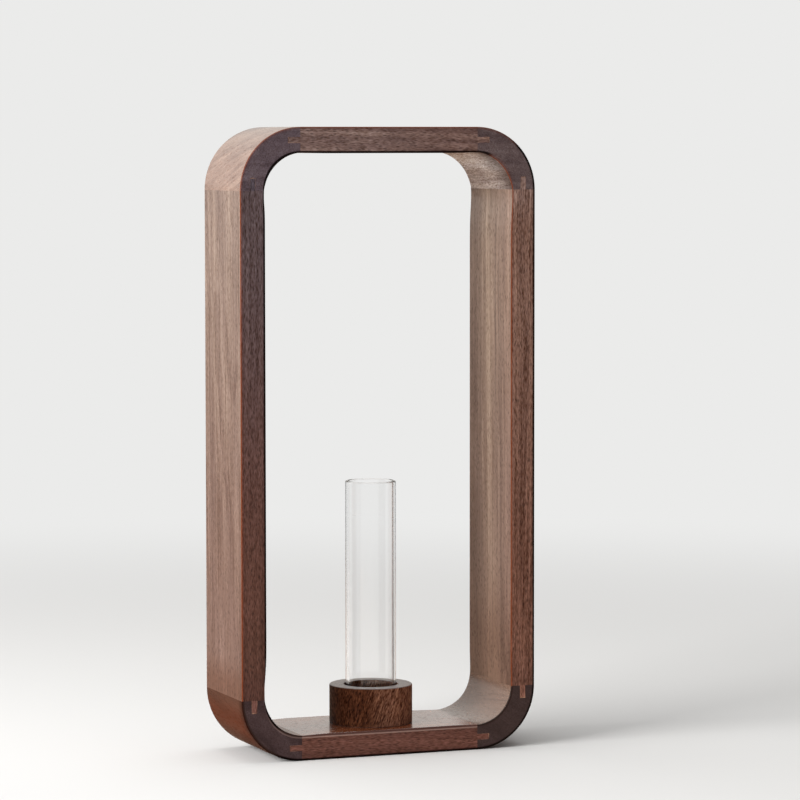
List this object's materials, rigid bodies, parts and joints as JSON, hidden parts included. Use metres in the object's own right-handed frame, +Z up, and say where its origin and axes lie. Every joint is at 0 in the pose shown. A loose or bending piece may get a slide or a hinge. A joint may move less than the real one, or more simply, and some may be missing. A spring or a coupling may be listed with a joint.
{
  "type": "bud vase",
  "caption": "Bud vase: a straight glass tube standing in a turned wooden socket inside an open upright wooden frame with quarter-round corners.",
  "frame": {"origin": "middle of the underside of the bottom rail, on the surface that the vase stands on", "axes": "+X across the frame to the right seen from the front, +Y from the front face to the back face, +Z up along the posts and the glass tube"},
  "size_m": [0.2, 0.07, 0.4],
  "materials": {
    "walnut_board": "sanded and oiled, satin",
    "walnut_block": "sanded and oiled, satin",
    "walnut_socket": "turned and oiled, satin",
    "beech_dowel": "raw, fluted",
    "clear_glass": "clear, fire-polished rim"
  },
  "bodies": {
    "wooden_frame": {"left_post": "walnut_board", "right_post": "walnut_board", "bottom_rail": "walnut_board", "top_rail": "walnut_board", "lower_left_corner": "walnut_block", "lower_right_corner": "walnut_block", "upper_left_corner": "walnut_block", "upper_right_corner": "walnut_block", "tube_socket": "walnut_socket", "socket_dowel": "beech_dowel"},
    "tube": {"glass_tube": "clear_glass"}
  },
  "joints": [
    {"name": "tube_lift", "type": "slide", "parent": "wooden_frame", "child": "tube", "axis": [0, 0, 1], "range_m": [0, 0.03]}
  ]
}
